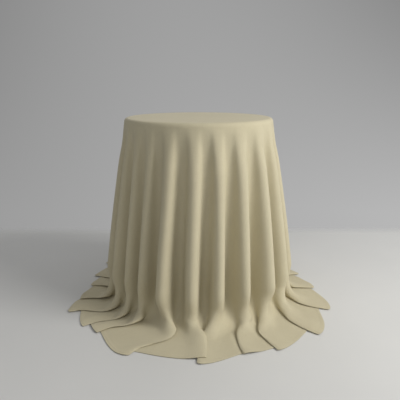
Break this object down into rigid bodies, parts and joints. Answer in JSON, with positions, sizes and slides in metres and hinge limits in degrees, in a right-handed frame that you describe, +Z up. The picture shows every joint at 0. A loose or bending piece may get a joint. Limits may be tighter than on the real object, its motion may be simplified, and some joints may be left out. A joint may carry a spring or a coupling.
{
  "type": "tablecloth on a round table",
  "caption": "Floor-length round tablecloth in plain woven cloth over a small round pedestal table, falling in soft flutes to a skirt of spare cloth on the floor.",
  "frame": {"origin": "on the floor, under the middle of the table", "axes": "+Z up along the column, +X and +Y level, with the table's arms at 45 degrees between them"},
  "size_m": [1.132, 1.1316, 0.76],
  "materials": {
    "cloth": "matt plain weave",
    "thread": "matt spun thread",
    "laminate": "satin decorative laminate",
    "panel": "raw pressed wood",
    "bumper": "matt black moulding",
    "castings": "textured black powder coat",
    "column": "satin black powder coat",
    "zinc": "bright zinc plate",
    "foot_plastic": "moulded nylon"
  },
  "bodies": {
    "table": {"laminate_sheet": "laminate", "tabletop_panel": "panel", "bumper_edge": "bumper", "top_plate": "castings", "plate_screws": "zinc", "column_tube": "column", "tie_rod": "zinc", "upper_washer": "zinc", "upper_nut": "zinc", "lower_washer": "zinc", "lower_nut": "zinc", "pedestal_base": "castings"},
    "cloth": {"tablecloth": "cloth", "hem_thread": "thread"},
    "glide_1": {"glide_stem_1": "zinc", "glide_foot_1": "foot_plastic"},
    "glide_2": {"glide_stem_2": "zinc", "glide_foot_2": "foot_plastic"},
    "glide_3": {"glide_stem_3": "zinc", "glide_foot_3": "foot_plastic"},
    "glide_4": {"glide_stem_4": "zinc", "glide_foot_4": "foot_plastic"}
  },
  "joints": [
    {"name": "cloth_lift", "type": "slide", "parent": "table", "child": "cloth", "axis": [0, 0, 1], "range_m": [0, 0.8]},
    {"name": "glide_1_screw", "type": "slide", "parent": "table", "child": "glide_1", "axis": [0, 0, -1], "range_m": [0, 0.01]},
    {"name": "glide_2_screw", "type": "slide", "parent": "table", "child": "glide_2", "axis": [0, 0, -1], "range_m": [0, 0.01]},
    {"name": "glide_3_screw", "type": "slide", "parent": "table", "child": "glide_3", "axis": [0, 0, -1], "range_m": [0, 0.01]},
    {"name": "glide_4_screw", "type": "slide", "parent": "table", "child": "glide_4", "axis": [0, 0, -1], "range_m": [0, 0.01]}
  ]
}
